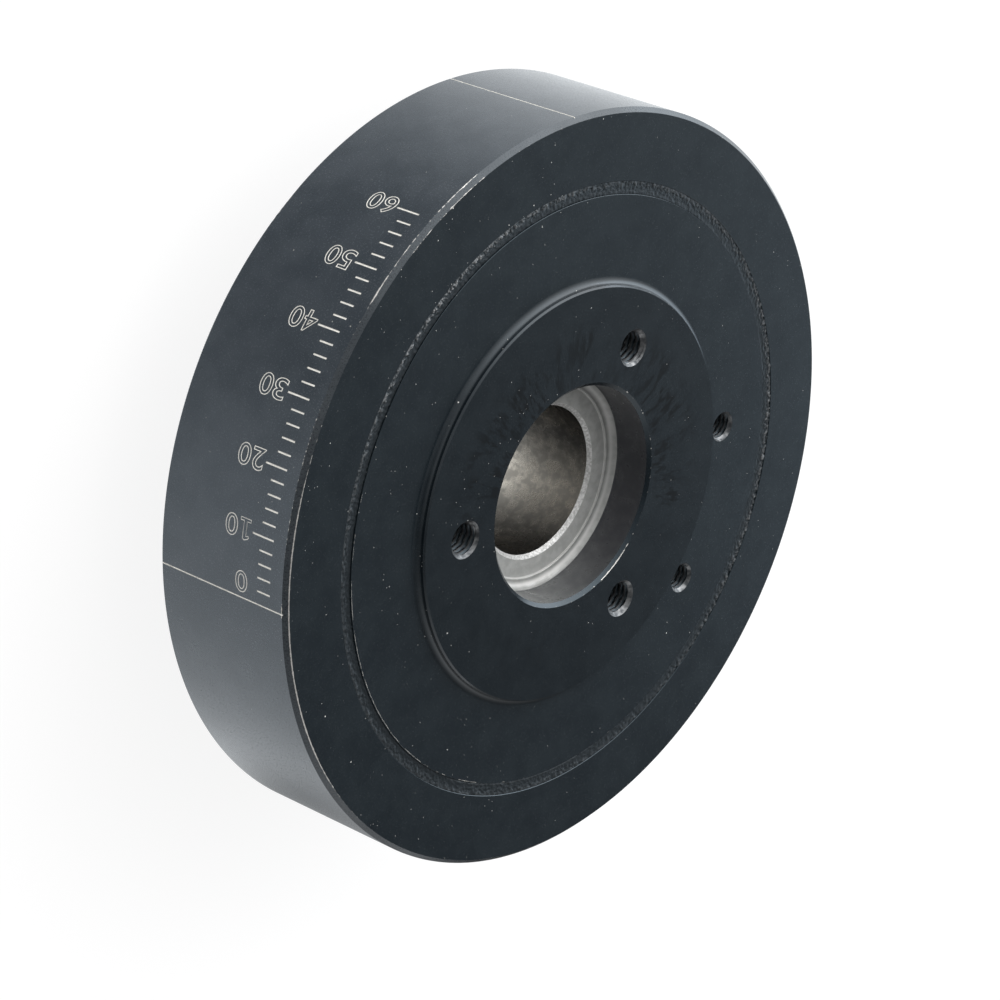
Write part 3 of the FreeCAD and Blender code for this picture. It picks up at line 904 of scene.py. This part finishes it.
def paintHub(piece, sizes):
    # bare in the counterbore and bore and on the seal sleeve, thread crests and holes' mouths, coated elsewhere
    centres, radius, height = faceCentres(piece.data)
    seat, floor, boss = sizes["washerSeat"], sizes["registerFloor"], sizes["bossRadius"]
    wallStart = floor + paintZones["wallShare"] * sizes["registerFillet"]
    inside = radius < sizes["registerRadius"] + 2 * touch
    bore = inside | (radius < sizes["sleeveRadius"] + 2 * touch)
    land = inside & (height > seat - 2 * touch) & (height < wallStart)
    # the bore's chamfer gets the pale edge steel, a painted highlight
    edge = inside & (height > seat - sizes["boreEdge"] + touch) & (height < seat - touch)
    wall = inside & (height >= wallStart)
    thread, mouth = np.zeros(len(radius), bool), np.zeros(len(radius), bool)
    for name in ("pulleyHoles", "sideHoles"):
        hole = sizes[name]
        far = holeDistance(hole, centres)
        cone = (height > hole["top"] - (hole["mouth"] - hole["minor"])) & (height < hole["top"] - touch)
        mouth |= (far < hole["mouth"]) & cone
        thread |= far < hole["minor"] + paintZones["crest"]
    top = (height > sizes["bossTop"] - paintZones["bossDeep"]) & (radius < boss + paintZones["bossOver"])
    foot = (height > sizes["webFront"] + touch) & (height < sizes["bossTop"] - touch)
    foot &= radius > boss - paintZones["bossDeep"]
    index = np.select([wall, edge, land, bore, mouth, thread, foot, top], [4, 2, 3, 1, 6, 5, 8, 7], 0)
    paint(piece, [hubCoat, *steels, bossCoat, footCoat], index)


def paintRing(piece, sizes):
    # front and back faces, rim, and the engraving cut into the rim
    centres, radius, height = faceCentres(piece.data)
    outside, top = sizes["radius"], sizes["front"] - sizes["edge"] + 0.1 * touch
    outer = (radius > outside - paintZones["rimDeep"]) & (height < top)
    outer &= height > sizes["back"] + sizes["edge"] + touch
    cut = outer & (radius < outside - paintZones["cutDeep"])
    rim = outer | (radius > outside - sizes["edge"])
    chamfer = (radius > outside - sizes["edge"]) & (height > top)
    paint(piece, [ringCoat, rimCoat, engravedSteel, chamferCoat], np.select([cut, chamfer, rim], [2, 3, 1], 0))


paintHub(hub, hubSizes)
paintRing(ring, ringSizes)
paint(rubber, [bandRubber], np.zeros(len(rubber.data.polygons)))
print("materials made")

for piece, node, slot in ((hub, "hub", "hub_steel"), (rubber, "elastomer_ring", "black_rubber"),
                          (ring, "inertia_ring", "ring_steel")):
    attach(piece, "root")
    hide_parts(node)


studio = {
    "cameraPlace": (-690.452, 414.725, 672.831), "cameraTurn": (-25.5458, -47.2472, 1.4953), "lens": 140.72,
    "floorHalf": 8.0, "floorGrey": 0.92, "floorLift": 0.8, "floorGlow": 1.09,
    "shineGlow": 1.50, "shineColour": (0.94, 0.975, 1.0),
    # the shades are painted: dark spots in what the floor shows to reflections, each as centre, full-dark distance,
    # fade-out distance and darkest glow
    "paintedShades": [((-0.11, 0.16, 0.0), 0.05, 0.17, 0.64), ((-0.025, -0.12, 0.0), 0.02, 0.068, 0.50),
               ((0.14, -0.42, 0.0), 0.25, 0.34, 0.04)],
    "dim": 0.09,
    "glows": [{"azimuth": 50, "height": 25, "power": 4.0, "narrow": 3.2},
              {"azimuth": -100, "height": 16, "power": 1.0, "narrow": 6.0},
              {"azimuth": 142, "height": 20, "power": 0.7, "narrow": 4.0}],
    "lamp": {"azimuth": 0, "height": 17, "distance": 0.62, "size": (0.80, 0.34), "power": 1.15,
             "colour": (0.72, 0.87, 1.0)},
}


def paperMaterial(name, setup):
    # white paper: the camera and the reflections see it lifted towards white, and it keeps a shadow;
    # in the reflections it has painted shades: dark spots that stand for the shades of the camera and of the part, and
    # a third, wide and nearly black, farther out, that darkens what the ring's chamfer reflects
    material, tree, inputs = newMaterial(name, "ShaderNodeMixShader")
    plain = build(tree, "ShaderNodeBsdfDiffuse", {0: (*[setup["floorGrey"]] * 3, 1)})
    rays = place(tree, "ShaderNodeLightPath").outputs
    seen, mirrored = rays["Is Camera Ray"], calc(tree, "MAXIMUM", rays["Is Glossy Ray"], rays["Is Transmission Ray"])
    here = place(tree, "ShaderNodeTexCoord").outputs["Object"]
    shine = setup["shineGlow"]
    # each painted shade darkens the reflected glow near its centre
    for centre, near, reach, dark in setup["paintedShades"]:
        far = build(tree, "ShaderNodeVectorMath", {0: here, 1: centre}, operation="DISTANCE")["Value"]
        shine = calc(tree, "MINIMUM", stretch(tree, far, near, reach, dark, setup["shineGlow"]), shine)
    strength = calc(tree, "MAXIMUM", times(tree, seen, setup["floorGlow"]), times(tree, mirrored, shine))
    glow = build(tree, "ShaderNodeEmission", {
        0: mixed(tree, mirrored, (1.0, 1.0, 1.0), setup["shineColour"]), 1: strength})
    feed(tree, inputs[0], calc(tree, "MAXIMUM", times(tree, seen, setup["floorLift"]), mirrored))
    feed(tree, inputs[1], plain[0])
    feed(tree, inputs[2], glow[0])
    return material


def makeFloor(setup):
    half = setup["floorHalf"]
    corners = [(-half, -half, 0), (half, -half, 0), (half, half, 0), (-half, half, 0)]
    mesh = meshFrom("paperFloor", corners, [(0, 1, 2, 3)])
    floor = addObject("paperFloor", mesh)
    mesh.materials.append(paperMaterial("whitePaper", setup))


def outwards(source):
    # the direction at an azimuth and a height in degrees
    turn, rise = math.radians(source["azimuth"]), math.radians(source["height"])
    return Vector((math.cos(turn) * math.cos(rise), math.sin(turn) * math.cos(rise), math.sin(rise)))


def makeWorld(setup):
    # a dim room with wide soft glows in it, the largest one from behind and to the right
    world = bpy.data.worlds.new("studioWorld")
    scene.world = world
    world.use_nodes = True
    tree = world.node_tree
    tree.nodes.clear()
    aim = place(tree, "ShaderNodeTexCoord").outputs["Generated"]
    level = setup["dim"]
    for glow in setup["glows"]:
        facing = build(tree, "ShaderNodeVectorMath", {0: aim, 1: tuple(outwards(glow))}, operation="DOT_PRODUCT")
        lobe = calc(tree, "POWER", calc(tree, "MAXIMUM", facing["Value"], 0.0), glow["narrow"])
        level = calc(tree, "MULTIPLY_ADD", lobe, glow["power"], level)
    sky = build(tree, "ShaderNodeBackground", {0: (1.0, 1.0, 1.0, 1.0), 1: level})
    build(tree, "ShaderNodeOutputWorld", {0: sky[0]})


def makeLamp(lamp):
    # a soft box behind the part, which the camera doesn't see
    light = bpy.data.lights.new("backSheet", "AREA")
    light.shape = "RECTANGLE"
    light.size, light.size_y = lamp["size"]
    light.energy = lamp["power"]
    light.color = lamp["colour"]
    piece = addObject("backSheet", light)
    away = outwards(lamp)
    piece.location = away * lamp["distance"]
    piece.rotation_euler = (-away).to_track_quat("-Z", "Y").to_euler()
    piece.visible_camera = False


def makeCamera(setup):
    camera = bpy.data.cameras.new("camera")
    camera.sensor_width = 36
    camera.lens = setup["lens"]
    camera.clip_start, camera.clip_end = 0.05, 50
    piece = addObject("camera", camera)
    piece.location = [value * mm for value in setup["cameraPlace"]]
    piece.rotation_euler = Euler([math.radians(value) for value in setup["cameraTurn"]])
    scene.camera = piece


makeFloor(studio)
makeWorld(studio)
makeLamp(studio["lamp"])
makeCamera(studio)
scene.view_settings.view_transform = "Standard"
print("studio made")
